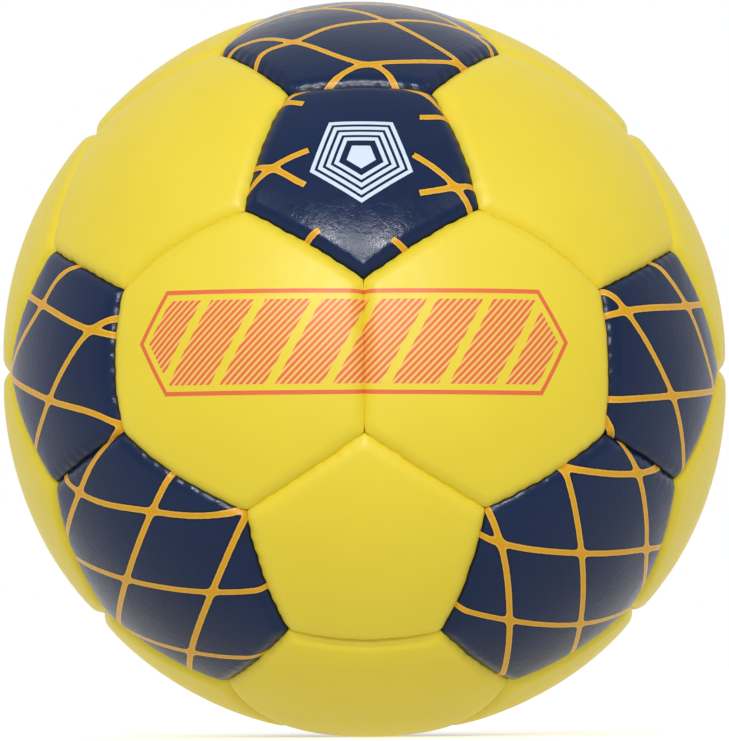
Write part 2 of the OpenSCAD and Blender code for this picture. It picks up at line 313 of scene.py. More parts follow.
def sight(pixels):
    """Directions from the ball's centre to where the lines of sight through these pixels meet its skin.

    A ray leaves the eye, CAMERA_FAR up the view's third axis, through the pixel; its nearer crossing with the
    sphere of radius INK_R is the place, or its closest approach where it passes the sphere by.
    """
    off = (np.asarray(pixels, float) - BALL_PX) * (1, -1) @ np.linalg.inv(MISSHAPE)
    ray = unit(np.column_stack([off, np.full(len(off), -PX_PER_MM * CAMERA_FAR)]))
    along = -ray[:, 2] * CAMERA_FAR
    w = np.zeros((len(off), 3))
    for _ in range(4):
        spare = np.maximum(along**2 - CAMERA_FAR**2 + (INK_R * rise(w)) ** 2, 0)
        w = unit((ray * (along - np.sqrt(spare))[:, None] + (0, 0, CAMERA_FAR)) @ VIEW)
    return w


def rise(w):
    """What the radius is multiplied by in each direction: a bell over the ball's top."""
    return 1 + TOP_RISE * np.exp((w[..., 2] - 1) / TOP_WIDE)


def smooth_line(way, beyond=16.0, step=0.4):
    """Directions every step mm along a smooth line through the given ones, run on beyond both ends.

    A cubic between each pair. Its slope at a point is the mean of the two chords' slopes, each weighted by
    the other chord's length, so the line neither kinks nor overshoots.
    """
    ends = [unit(way[0] - way[1]), unit(way[-1] - way[-2])]
    reach = beyond / INK_R
    way = np.vstack([way[0] + ends[0] * reach, way, way[-1] + ends[1] * reach])
    chord = np.linalg.norm(np.diff(way, axis=0), axis=1)
    slope = np.diff(way, axis=0) / chord[:, None]
    inner = (slope[1:] * chord[:-1, None] + slope[:-1] * chord[1:, None]) / (chord[1:] + chord[:-1])[:, None]
    tangent = np.vstack([slope[:1], inner, slope[-1:]])
    at = np.concatenate([[0], np.cumsum(chord)])
    s = np.arange(0, at[-1], step / INK_R)
    k = np.clip(np.searchsorted(at, s, side="right") - 1, 0, len(chord) - 1)
    h, u = chord[k][:, None], ((s - at[k]) / chord[k])[:, None]
    line = (
        way[k] * (2 * u**3 - 3 * u**2 + 1)
        + way[k + 1] * (3 * u**2 - 2 * u**3)
        + tangent[k] * h * (u**3 - 2 * u**2 + u)
        + tangent[k + 1] * h * (u**3 - u**2)
    )
    return unit(line)


def beside(line, w):
    """Signed distance in mm from each direction in w to a line, and the index of the line's nearest point.

    The sign is positive on the line's left, so it runs straight through zero across the line.
    """
    left = unit(np.cross(line, np.gradient(line, axis=0)))
    near = np.argmax(w @ line.T, axis=1)
    return INK_R * np.einsum("ij,ij->i", w, left[near]), near


def corner_directions():
    """The 60 corners of the seams, as sewn.

    A corner lies a third of the way from one pentagon's axis to the next one's. The angle between
    neighbouring axes has the cosine 1 / sqrt(5). Each corner that the photograph shows is then moved across
    the view to its own pixel, as far as CORNER_OFF allows. Those that face away are put far off, where no
    pixel finds them.
    """
    axes = unit(list(PENTAGONS.values()))
    a, b = np.nonzero(np.isclose(axes @ axes.T, 5**-0.5))
    place = CORNER_R * unit(2 * axes[a] + axes[b]) @ VIEW.T
    nearer = CAMERA_FAR / (CAMERA_FAR - place[:, 2:])
    seen = np.where(place[:, 2:] > 0, place[:, :2] * nearer, 9 * BALL_R) @ MISSHAPE
    wanted = (np.array(CORNER_PX) - BALL_PX) * (1, -1) / PX_PER_MM
    k = np.argmin(np.linalg.norm(wanted[:, None] - seen, axis=2), axis=1)
    shift = wanted - seen[k]
    length = np.linalg.norm(shift, axis=1, keepdims=True)
    place[k, :2] += shift * np.minimum(1, CORNER_OFF / length) / nearer[k]
    return unit(place @ VIEW)


CORNERS = corner_directions()


def seam_between(first, second):
    """The two corners of the seam between two panels, and the direction across it towards the second."""
    a, b = (unit({**HEXAGONS, **PENTAGONS}[name]) for name in (first, second))
    return frozenset(np.argsort(-(CORNERS @ (a + b)))[:2].tolist()), unit(b - a)


def seam_table(values):
    """Each seam's own value, in mm, as a vector across it towards its second panel."""
    table = {}
    for (first, second), value in values.items():
        ends, across = seam_between(first, second)
        table[ends] = across * value
    return table


BOWS = seam_table(SEAM_BOWS)
STEPS = seam_table(SEAM_STEPS)


def out_of_round(points):
    """Points raised round the top, then moved across the view and up it as MISSHAPE says."""
    seen = points * rise(unit(points))[..., None] @ VIEW.T
    seen[..., :2] = seen[..., :2] @ MISSHAPE
    return seen @ VIEW


def uneven(w, waves):
    """A smooth unevenness of up to about 1: twice the mean of a dozen seeded sine waves through the ball."""
    pull, phase = waves
    return 2 * np.sin(w @ pull.T * BALL_R + phase).mean(-1)


def make_waves(seed, short, long):
    """A dozen waves in random directions, of wavelengths between short and long mm."""
    rng = np.random.default_rng(seed)
    pull = unit(rng.normal(size=(WAVES, 3))) * (2 * np.pi / rng.uniform(short, long, (WAVES, 1)))
    return pull, rng.uniform(0, 2 * np.pi, WAVES)


SWELLS = make_waves(11, *SWELL_WAVES)
RIPPLES = make_waves(12, *RIPPLE_WAVES)


# The panels


def profile_rows(tilt, hole):
    """The rows of a panel's closed skin, from the middle of its outer face round to the middle of its inner.

    Each row is: distance in mm from the seam's plane; how far the row lies under the outer face; how far it
    has gone, from 0 to 1, down to the folded tip; and how far beyond the lip it lies on the unrolled skin.
    Returned with them are how many belong to the outer face, and which are counted from the valve's hole.
    """
    reach = BALL_R * tilt - MIDDLE_ROOM - hole
    crown = np.linspace(reach, SAG_IN, int((reach - SAG_IN) / CROWN_STEP))
    shoulder = np.linspace(SAG_IN, ROLL_IN, SHOULDER_ROWS + 1)[1:]
    steep = np.arcsin((ROLL_IN - LIP_IN) / ROLL_R)
    roll = ROLL_IN - ROLL_R * np.sin(np.linspace(0, steep, ROLL_ROWS + 1)[1:])
    turn = np.linspace(steep, np.pi / 2, LIP_ROWS + 1)[1:]
    lip = LIP_IN - LIP_R * (np.sin(turn) - np.sin(steep))
    lip_under = LIP_R * (np.cos(steep) - np.cos(turn))

    rows = [(t, 0, 0, 0) for t in np.concatenate([crown, shoulder, roll])]
    rows += [(max(t, HALF_GAP), under, 0, under) for t, under in zip(lip, lip_under)]
    rows += [(HALF_GAP, lip_under[-1], down, FLAT_ROOT + FLAT_FLANGE * down) for down in DOWN_SHARES]
    outer_rows = len(rows)
    rows += [(t, 0, 1, flat) for t, flat in zip(TIP_ROWS, FLAT_TIP)]
    rows += [(HALF_GAP + SKIN, SKIN + ROOT, down, FLAT_TIP[1]) for down in UP_SHARES]
    rows += [(t, SKIN + ROOT * np.exp(-t / ROOT_IN), 0, 0) for t in INNER_ROWS]
    rows += [(reach, SKIN, 0, 0)]
    by_hole = [False] * len(rows)
    if hole:
        rows = [(t, under, 0, 0) for t, under in HOLE_RIM] + rows + [(0, SKIN, 0, 0)]
        by_hole = [True] * len(HOLE_RIM) + by_hole + [True]
        outer_rows += len(HOLE_RIM)
    return np.array(rows), outer_rows, np.array(by_hole)


def edge_noise(a, b, x):
    """How far the seam between corners a and b strays x mm from its middle, and how hard a stitch draws.

    Both are the same from both of its sides. It strays by a kink at every stitch and a slow wander of three
    seeded sine waves. The draw is its mean plus a swing, the product of two slow sine waves.
    """
    rng = np.random.default_rng([min(a, b), max(a, b)])
    phases = rng.uniform(0, 2 * np.pi, 4)
    angle = 2 * np.pi * x
    stray = KINK * np.sin(angle / STITCH_PITCH + phases[0])
    for wave, phase in zip(WANDER_WAVES, phases[1:]):
        stray = stray + WANDER * np.sin(angle / wave + phase)
    swing = np.sin(angle / DRAW_WAVES[0] + phases[1]) * np.sin(angle / DRAW_WAVES[1] + phases[2])
    return stray, DRAW + DRAW_SWING * swing


def seam_marks(ids, inward, x):
    """The stray, draw, bow and step of a panel's seams at x mm from their middles, joined round the panel.

    The stitches draw most half a pitch either side of the seam's middle, and every pitch from there. The bow
    and the step fall off from the middle as one minus the square of the distance. Stitches and stray stop
    short of the corners.
    """
    half = BALL_R * EDGE_HALF
    still = 1 - np.exp(-(((half - np.abs(x)) / STILL_IN) ** 2))
    stitch = 0.5 + 0.5 * np.cos(2 * np.pi * (np.abs(x) / STITCH_PITCH - 0.5))
    middle = 1 - (x / half) ** 2
    marks = []
    for a, b, inwards in zip(ids, np.roll(ids, -1), inward):
        way = 1 if a < b else -1
        stray, draw = edge_noise(a, b, x * way)
        ends = frozenset((int(a), int(b)))
        bow = BOWS.get(ends, np.zeros(3)) @ inwards
        step = max(STEPS.get(ends, np.zeros(3)) @ -inwards, 0)
        marks.append((stray * way * still, draw * still * stitch, bow * middle, step * middle))
    return np.concatenate(marks, axis=1)


def round_panel(axis, sides):
    """A panel's corners in their order round its axis, and the two directions that it is laid out in."""
    ids = np.argsort(-(CORNERS @ axis))[:sides]
    # A little askew, so that no corner lies where the angle jumps from one turn to the next.
    across = unit(np.cross((0.02, 0.01, 1) if abs(axis[2]) < 0.9 else (0.02, 1, 0), axis))
    up = np.cross(axis, across)
    return ids[np.argsort(np.arctan2(CORNERS[ids] @ up, CORNERS[ids] @ across))], np.array([across, up])


def panel_shape(name, axis, sides):
    """Every point of one panel's skin, with what its materials need to know.

    Seen along its axis a panel is a polygon, so its rows are that polygon drawn smaller and smaller. A
    point's direction fixes its height on the crown. From that come off the circle that the edge rolls over,
    a slow sag, the pull of the stitches, the seam's step and, at the corners, the rounding where two rolled
    edges meet.
    """
    axis = unit(axis)
    tilt = HEX_TILT if sides == 6 else PENT_TILT
    offset = CROWN_OFFSET * np.cos(HEX_TILT) / np.cos(tilt)
    crown_r = np.sqrt((BALL_R - CROWN_OFFSET) ** 2 - CROWN_OFFSET**2 + offset**2)

    ids, layout = round_panel(axis, sides)
    start, end = CORNERS[ids], CORNERS[np.roll(ids, -1)]
    inward = unit(np.cross(start, end))
    share = np.arange(COLUMNS)[:, None] / COLUMNS
    rim = (start[:, None] * (1 - share) + end[:, None] * share).reshape(-1, 3)
    rim = rim / (rim @ axis)[:, None]
    reach = np.linalg.norm(rim - axis, axis=1)
    out = (rim - axis) / reach[:, None]
    x = BALL_R * np.arctan((2 * share[:, 0] - 1) * np.tan(EDGE_HALF))
    stray, draw, bow, step = seam_marks(ids, inward, x)
    from_corner = np.tile(BALL_R * EDGE_HALF - np.abs(x), sides)

    hole_r = HOLE_R if name == VALVE_PANEL else 0.0
    hole = hole_r / BALL_R
    rows, outer_rows, by_hole = profile_rows(tilt, hole_r)
    row_in, under, folded, unrolled = rows.T[..., None]
    angle = row_in / BALL_R
    plane = np.where(by_hole[:, None], hole + angle, np.tan(np.maximum(tilt - angle, 0)))
    flat_r = hole + (reach - hole) * (plane - hole) / (np.tan(tilt) - hole)
    w = unit(axis + out * flat_r[..., None])

    seams = BALL_R * np.arcsin(np.clip(w @ inward.T, -1, 1))
    nearest = np.partition(seams, 1, axis=2)[..., :2]
    t, second = nearest[..., 0], nearest[..., 1]
    corner = np.clip(1 - (second - t) / CORNER_ROUND, 0, None) ** 2 * CORNER_ROUND / 4

    past_lip = np.maximum(t - LIP_IN, 0)
    sway = stray * np.exp(-past_lip / SWAY_IN) + bow * np.exp(-past_lip / BOW_IN)
    pull = CORNER_PULL * np.exp(-((from_corner / CORNER_SPREAD) ** 2)) * np.exp(-t / PULL_IN)
    wall = np.repeat(inward, COLUMNS, axis=0)
    w = unit(w + wall * (sway / BALL_R)[..., None] - out * (pull / BALL_R)[..., None])

    cos_a = w @ axis
    crown = offset * cos_a + np.sqrt(crown_r**2 - offset**2 * (1 - cos_a**2))
    crown = crown + SWELL * uneven(w, SWELLS)
    crown = crown + RIPPLE * uneven(w, RIPPLES) * np.clip(t / RIPPLE_IN, RIPPLE_LEFT, 1)
    over = np.maximum(ROLL_IN - (np.maximum(t, LIP_IN) - corner), 0)
    drop = ROLL_R - np.sqrt(ROLL_R**2 - over**2)
    drop = drop + SAG * np.clip(1 - t / SAG_IN, 0, None) ** 2
    drop = drop + PUCKER * draw * np.exp(-t / PUCKER_IN) + step * np.exp(-t / STEP_IN)
    radius = (1 - folded) * (crown - drop - under) + folded * TIP_R

    middle = None if hole else out_of_round(axis * [[crown[0].mean()], [crown[-1].mean() - SKIN]])
    return {
        "axis": axis,
        "w": w,
        "points": out_of_round(w * radius[..., None]),
        "middle": middle,
        "outer_rows": outer_rows,
        "t": t,
        "x": np.broadcast_to(np.tile(np.abs(x), sides), t.shape),
        "unrolled": out * (flat_r * BALL_R + unrolled)[..., None] @ layout.T,
    }


def grid_faces(rows, columns, loop_rows):
    """Quads of a grid whose columns close on themselves, and whose rows do too where loop_rows says so."""
    i = np.arange(rows if loop_rows else rows - 1)[:, None]
    j = np.arange(columns)[None]
    here, below = i * columns, (i + 1) % rows * columns
    after = (j + 1) % columns
    quads = np.stack(np.broadcast_arrays(here + j, below + j, below + after, here + after), -1)
    return quads.reshape(-1, 4)


def middle_fans(rows, columns):
    """Triangles from the first and the last row of a grid to the two points that follow the grid's own."""
    j = np.arange(columns)
    after = (j + 1) % columns
    last = (rows - 1) * columns
    outer, inner = np.full(columns, rows * columns), np.full(columns, rows * columns + 1)
    return np.vstack([np.stack([outer, j, after], 1), np.stack([inner, last + after, last + j], 1)])


def panel_piece(name, axis, sides, skin, backing):
    """Makes one panel: its mesh, its two materials, its flat map, and the attributes that they follow.

    The attribute called seam holds how far in mm a point is from the nearest seam, which is 0 on the inner
    face, and from that seam's middle.
    """
    shape = panel_shape(name, axis, sides)
    rows, columns = shape["t"].shape
    points = shape["points"].reshape(-1, 3)
    has_hole = shape["middle"] is None
    quads = grid_faces(rows, columns, loop_rows=has_hole)
    fans = np.zeros((0, 3), int)
    if not has_hole:
        points = np.vstack([points, shape["middle"]])
        fans = middle_fans(rows, columns)

    mesh = bpy.data.meshes.new(name + "_skin")
    mesh.from_pydata((points * MM).tolist(), [], quads.tolist() + fans.tolist())
    mesh.polygons.foreach_set("use_smooth", np.ones(len(mesh.polygons), bool))
    face_row = np.concatenate([np.arange(len(quads)) // columns, np.repeat([0, rows], columns)[: len(fans)]])
    inside = face_row >= shape["outer_rows"]
    if has_hole:
        inside[-columns:] = False
    mesh.polygons.foreach_set("material_index", inside.astype(np.int32))
    mesh.materials.append(skin)
    mesh.materials.append(backing)

    spare = len(points) - rows * columns
    outer = np.repeat(np.arange(rows) < shape["outer_rows"], columns)
    outer = np.concatenate([outer, np.array([True, False])[:spare]])
    w = np.concatenate([shape["w"].reshape(-1, 3), np.tile(shape["axis"], (spare, 1))])
    t = np.concatenate([shape["t"].ravel(), [shape["t"].max()] * spare])
    x = np.concatenate([shape["x"].ravel(), [0] * spare])
    add_attribute(mesh, "seam", np.column_stack([np.where(outer, t, 0), x, np.zeros(len(t))]))
    mark_prints(mesh, name, w * ((1, -1, -1) if axis[1] > 0 else (1, 1, 1)), outer)
    bake_map(mesh, shape["unrolled"].reshape(-1, 2), quads, fans, inside)
    mesh.update()

    piece = bpy.data.objects.new(name + "_skin", mesh)
    bpy.context.scene.collection.objects.link(piece)
    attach(piece, "root")
    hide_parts(name)
    return piece


def mark_prints(mesh, name, w, outer):
    """Stores what a panel's prints follow: distances to the net's lines, and places on badge and band.

    w holds the points' directions, those of the back turned half round about X to the front. A place on the
    badge is how far right of the panel's axis and up from it the point is, seen along the axis; one on the
    band is its longitude and latitude on the ball, in mm. Only the outer face is printed.
    """
    front = BACK_TO_FRONT.get(name, name)
    if front in NET_PX:
        lines = [smooth_line(sight(pixels)) for pixels in NET_PX[front]]
        found = [beside(line, w) for line in lines]
        away = np.full((len(w), NET_LINES), NO_LINE)
        away[:, : len(lines)] = np.stack([distance for distance, _ in found], 1)
        away[~outer] = NO_LINE
        add_attribute(mesh, "net_a", away[:, :3])
        add_attribute(mesh, "net_b", away[:, 3:])
    if name in BADGE_PANELS:
        closest = np.argmin(np.abs(away[:, : len(lines)]), axis=1)
        bare = [bare_span(line, near, ends) for line, (_, near), ends in zip(lines, found, BARE_PX)]
        bare = np.stack(bare, 1)[np.arange(len(w)), closest]
        axis = unit(PENTAGONS[front])
        upright = unit(np.array([0, 0, 1]) - axis * axis[2])
        place = INK_R * (w @ np.stack([np.cross(upright, axis), upright]).T) / (w @ axis)[:, None]
        add_attribute(mesh, "badge", np.column_stack([place, bare]))
    if name in BAND_PANELS:
        u, v = INK_R * np.arctan2(w[:, 0], -w[:, 1]), INK_R * np.arcsin(w[:, 2])
        add_attribute(mesh, "band", np.column_stack([u, v, np.where(outer, 0, NO_LINE)]))


def bare_span(line, near, ends):
    """How far in mm each point's nearest place on a line lies inside its bare stretch; negative outside."""
    a, b = np.argmax(line @ sight(ends).T, axis=0)
    step = INK_R * np.linalg.norm(line[1] - line[0])
    return step * np.minimum(near - min(a, b), max(a, b) - near)


def add_attribute(mesh, name, values):
    """Stores a vector at each of a mesh's points."""
    data = mesh.attributes.new(name, "FLOAT_VECTOR", "POINT").data
    data.foreach_set("vector", np.ascontiguousarray(values, np.float32).ravel())


def bake_map(mesh, flat, quads, fans, inside):
    """Lays the skin out flat: its outer face and flange as a large polygon, its inner face as a small one."""
    flat = np.vstack([flat, np.zeros((2, 2))])
    flat = flat / np.abs(flat).max() / MAP_MARGIN
    large, small = (half * flat + middle for middle, half in (LARGE_MAP, SMALL_MAP))
    is_inside = np.concatenate([np.repeat(inside[: len(quads)], 4), np.repeat(inside[len(quads) :], 3)])
    corners = np.concatenate([quads.ravel(), fans.ravel()])
    uv = np.where(is_inside[:, None], small[corners], large[corners])
    mesh.uv_layers.new(name="OFBake").data.foreach_set("uv", uv.astype(np.float32).ravel())


# Materials


# A noise's values, which mostly lie between these, and how a wave's repeat in metres makes its scale.
NOISE = (0.3, 0.7)
WAVE_REPEAT = 0.31
SMOOTH = {"interpolation_type": "SMOOTHSTEP"}

# Leather, in mm: the width of its pebbles, how far a noise jostles them and how wide that noise is, its
# grit, its creases, its clouds of tone and its patches of gloss.
PEBBLE = 0.85
JOSTLE, JOSTLE_WIDE = 0.5, 1.6
GRIT = 0.35
CREASE = 5.0
CLOUD, GLOSS = 28.0, 3.0
# The folds that fan out from a stitch: their width, their length, and from where to where they fade.
FOLD_WIDE, FOLD_LONG = 0.8547, 3.4965
FOLD_FROM, FOLD_TO = 0.4, 7.0
# Near a seam the skin is stretched: from where to where, and how much of its emboss is left there.
STRETCH_FROM, STRETCH_TO, STRETCH_LEFT = 1.2, 4.5, 0.1
# What pebbles, grit and creases add to the emboss, as shares of its height.
PEBBLE_SHARE, GRIT_SHARE, CREASE_SHARE = -0.55, 0.35, 0.35

# The gold net, in mm: half the width of its lines, how far that wobbles and over what distance, and how far
# apart two lines begin to run together. Then, from the line's edge inwards, from where to where its dark
# outline and its ink come in and its paler rim goes.
NET_HALF = 0.82
WOBBLE, WOBBLE_WIDE = 0.22, 1.2
NET_MEET = 2.0
OUTLINE = (-0.5, -0.3)
INK = (-0.04, 0.07)
RIM = (0.12, 0.42)
# How thick ink is, as a share of the emboss, and the band's ink, which is thinner.
INK_THICK, BAND_THICK = 0.8, 0.6

# The badge, in mm: how far its middle lies above the panel's, the pitch of its rings and half their width,
# the inner and the outer end of the rings, and the reach of the solid pentagon in the middle.
BADGE_UP = 1.0
RING, RING_HALF = 1.75, 0.52
RINGS_FROM, RINGS_TO = 4.48, 11.28
HEART = 3.1

# The band, in mm: where its middle lies on the ball, half its height, how far out its points reach and how
# their sides slant; half the width of its frame; the pitch of its blocks, the gaps between them and how far
# inside the frame's outer edge they stay; and the pitch and the width of the hatching.
BAND_U, BAND_V = -3.0, 4.0
BAND_HALF, BAND_POINT, BAND_SLANT = 13.0, 49.0, np.radians(30)
FRAME_HALF = 0.55
BLOCK, BLOCK_GAP, BLOCK_INSET = 14.4, 2.6, 2.6
HATCH, HATCH_WIDE = 1.25, 0.707


def linear(colour):
    """An sRGB colour such as "#E6D650" as linear red, green, blue and alpha."""
    value = np.array([int(colour[k : k + 2], 16) for k in (1, 3, 5)]) / 255
    value = np.where(value <= 0.04045, value / 12.92, ((value + 0.055) / 1.055) ** 2.4)
    return (*value.tolist(), 1.0)


def add(tree, kind, *values, **settings):
    """Adds one node with its settings, and sets each input to a value or links it from a node or socket.

    The values follow the node's inputs in their order, or are one dictionary by name. A MapRange takes its
    input, the range that it reads and the range that it gives; a MixRGB takes its share and its two colours.
    """
    node = tree.nodes.new("ShaderNode" + kind)
    for key, value in settings.items():
        setattr(node, key, value)
    by_name = len(values) == 1 and isinstance(values[0], dict)
    for key, value in (values[0] if by_name else dict(enumerate(values))).items():
        if isinstance(value, bpy.types.Node):
            value = value.outputs[0]
        if isinstance(value, bpy.types.NodeSocket):
            tree.links.new(value, node.inputs[key])
        else:
            node.inputs[key].default_value = value
    return node


def new_material(name):
    """An empty material's node tree, with its output."""
    material = bpy.data.materials.new(name)
    material.use_nodes = True
    tree = material.node_tree
    tree.nodes.clear()
    return material, tree, tree.nodes.new("ShaderNodeOutputMaterial")


def finish_surface(tree, output, base, rough, height, depth, specular=0.5):
    """Ends a material: its colour, its roughness, and a relief that is depth mm high, on one shader."""
    bump = add(tree, "Bump", {"Height": height, "Distance": depth * MM})
    looks = {"Base Color": base, "Roughness": rough, "Normal": bump, "Specular IOR Level": specular}
    tree.links.new(add(tree, "BsdfPrincipled", looks).outputs[0], output.inputs["Surface"])


def marks(tree, name):
    """The three numbers that a mesh's points carry under a name."""
    carried = add(tree, "Attribute", attribute_name=name).outputs["Vector"]
    return add(tree, "SeparateXYZ", carried).outputs


def leather(name, colour, shade, groove, roughness, specular, depth, seam_shade, printed=None):
    """Polyurethane leather, embossed: finely pebbled, a shade deeper in its grooves, with shade painted along
    the seams.

    depth is the height of the emboss in mm. The argument after it sets the shade painted along the seams in
    the groove's tone:
    how many mm from the seam it reaches, and its share there. printed, where given, draws an ink over it, and
    returns the colour, the height and the roughness.
    """
    material, tree, output = new_material(name)
    place = add(tree, "TexCoord").outputs["Object"]
    to_seam, along, _ = marks(tree, "seam")

    # The emboss: pebbles jostled by noise, with finer grit between them.
    jostle = add(tree, "TexNoise", {"Vector": place, "Scale": 1 / (JOSTLE_WIDE * MM), "Detail": 2})
    shift = {"Vector": jostle.outputs["Color"], "Scale": JOSTLE * MM}
    shifted = add(tree, "VectorMath", shift, operation="SCALE")
    jostled = add(tree, "VectorMath", place, shifted, operation="ADD")
    cells = {"Vector": jostled, "Scale": 1 / (PEBBLE * MM), "Smoothness": 0.6}
    pebble = add(tree, "TexVoronoi", cells, feature="SMOOTH_F1")
    grit = add(tree, "TexNoise", {"Vector": place, "Scale": 1 / (GRIT * MM), "Detail": 3})
    # Creases a few millimetres long, where a noise crosses its middle.
    crease = {"Vector": place, "Scale": 1 / (CREASE * MM), "Detail": 5, "Roughness": 0.6}
    crease = add(tree, "Math", add(tree, "TexNoise", crease), 0.5, operation="SUBTRACT")
    crease = add(tree, "Math", crease, operation="ABSOLUTE")
    crease = add(tree, "MapRange", crease, 0.0, 0.06, 0.0, 1.0)
    height = 0.0
    for part, share in ((pebble, PEBBLE_SHARE), (grit, GRIT_SHARE), (crease, CREASE_SHARE)):
        height = add(tree, "Math", part, share, height, operation="MULTIPLY_ADD")
    # Stretched over the rolled edge, the emboss is flatter. The small folds fan out there from every stitch.
    slack = add(tree, "MapRange", to_seam, STRETCH_FROM, STRETCH_TO, STRETCH_LEFT, 1.0, **SMOOTH)
    height = add(tree, "Math", height, slack, operation="MULTIPLY")
    fold_along = add(tree, "Math", along, FOLD_WIDE, operation="DIVIDE")
    fold_in = add(tree, "Math", to_seam, FOLD_LONG, operation="DIVIDE")
    fold = add(tree, "CombineXYZ", fold_along, fold_in)
    fold = add(tree, "TexNoise", {"Vector": fold, "Scale": 1.0, "Detail": 3})
    by_seam = add(tree, "MapRange", to_seam, FOLD_FROM, FOLD_TO, 1.0, 0.0, **SMOOTH)
    height = add(tree, "Math", fold, by_seam, height, operation="MULTIPLY_ADD")

    # Cloudy differences of tone, a deeper tone in the grain, and shade painted along the seam in the groove's
    # tone.
    cloud = add(tree, "TexNoise", {"Vector": place, "Scale": 1 / (CLOUD * MM), "Detail": 4})
    cloud = add(tree, "MapRange", cloud, *NOISE, 0.0, 1.0)
    base = add(tree, "MixRGB", cloud, linear(colour), linear(shade))
    grain = add(tree, "MapRange", pebble, 0.35, 0.75, 0.0, 0.025)
    base = add(tree, "MixRGB", grain, base, linear(groove))
    seam_shade_in, seam_shade_share = seam_shade
    # Painted shade: towards the seam the colour goes over to the groove's tone, as though the valley lay in
    # shade. The same mask makes the seam a little rougher.
    seam_shade_mask = add(tree, "MapRange", to_seam, seam_shade_in / 3, seam_shade_in, seam_shade_share, 0.0, **SMOOTH)
    base = add(tree, "MixRGB", seam_shade_mask, base, linear(groove))
    rough = add(tree, "TexNoise", {"Vector": place, "Scale": 1 / (GLOSS * MM), "Detail": 4})
    rough = add(tree, "MapRange", rough, *NOISE, roughness - 0.05, roughness + 0.06)
    rough = add(tree, "Math", seam_shade_mask, 0.3, rough, operation="MULTIPLY_ADD")
    if printed:
        base, height, rough = printed(tree, place, base, height, rough, grit)
    finish_surface(tree, output, base, rough, height, depth, specular)
    return material


def net_ink(tree, place, base, height, rough, grit, bare=None):
    """Gold screen ink in lines that cross, raised a little, with a dark outline and a paler rim.

    A point follows the nearest line of six, with a smooth minimum that rounds the corners where two meet.
    Where bare is given, the ink stops inside that stretch. The grit of the leather wears through it.
    """
    lines = (*marks(tree, "net_a"), *marks(tree, "net_b"))
    near, *others = [add(tree, "Math", away, operation="ABSOLUTE") for away in lines]
    for away in others:
        near = add(tree, "Math", near, away, NET_MEET, operation="SMOOTH_MIN")
    wobble = add(tree, "TexNoise", {"Vector": place, "Scale": 1 / (WOBBLE_WIDE * MM), "Detail": 3})
    edge = add(tree, "Math", wobble, WOBBLE, NET_HALF - WOBBLE / 2, operation="MULTIPLY_ADD")
    within = add(tree, "Math", edge, near, operation="SUBTRACT")
    if bare is not None:
        printed = add(tree, "Math", 0, bare, operation="SUBTRACT")
        within = add(tree, "Math", within, printed, operation="MINIMUM")
    mask = add(tree, "MapRange", within, *INK, 0.0, 1.0)
    worn = add(tree, "MapRange", grit, 0.62, 0.74, 1.0, 0.72)
    mask = add(tree, "Math", mask, worn, operation="MULTIPLY")
    rim = add(tree, "MapRange", within, *RIM, 0.8, 0.0)
    gold = add(tree, "MixRGB", wobble, linear("#DA9C0A"), linear("#DFA616"))
    gold = add(tree, "MixRGB", rim, gold, linear("#E6B968"))
    outline = add(tree, "MapRange", within, *OUTLINE, 0.0, 0.85)
    base = add(tree, "MixRGB", outline, base, linear("#0A0D12"))
    base = add(tree, "MixRGB", mask, base, gold)
    height = add(tree, "Math", mask, INK_THICK, height, operation="MULTIPLY_ADD")
    rough = add(tree, "Math", mask, 0.1, rough, operation="MULTIPLY_ADD")
    return base, height, rough


def badge_ink(tree, place, base, height, rough, grit):
    """The net, stopped short of a badge in pale screen ink: rings of pentagons round a solid one.

    A pentagon's reach at a point is the distance from the middle times the cosine of the angle to the
    middle of the nearest side. Rings lie where that reach is near a whole number of pitches.
    """
    across, up, bare = marks(tree, "badge")
    base, height, rough = net_ink(tree, place, base, height, rough, grit, bare)
    down = add(tree, "Math", BADGE_UP, up, operation="SUBTRACT")
    angle = add(tree, "Math", across, down, operation="ARCTAN2")
    fifth = np.pi / 5
    angle = add(tree, "Math", angle, 2 * fifth, 0, operation="WRAP")
    angle = add(tree, "Math", angle, fifth, operation="SUBTRACT")
    spot = add(tree, "CombineXYZ", across, down)
    reach = add(tree, "VectorMath", spot, operation="LENGTH").outputs["Value"]
    nearest = add(tree, "Math", angle, operation="COSINE")
    reach = add(tree, "Math", reach, nearest, operation="MULTIPLY")
    rings = add(tree, "Math", reach, RING / 2, operation="PINGPONG")
    rings = add(tree, "Math", rings, RING_HALF, operation="LESS_THAN")
    middle, half = (RINGS_FROM + RINGS_TO) / 2, (RINGS_TO - RINGS_FROM) / 2
    ringed = add(tree, "Math", reach, middle, half, operation="COMPARE")
    rings = add(tree, "Math", rings, ringed, operation="MULTIPLY")
    heart = add(tree, "Math", reach, HEART, operation="LESS_THAN")
    mask = add(tree, "Math", rings, heart, operation="MAXIMUM")
    base = add(tree, "MixRGB", mask, base, linear("#D3DFF0"))
    height = add(tree, "Math", mask, INK_THICK, height, operation="MULTIPLY_ADD")
    return base, height, rough


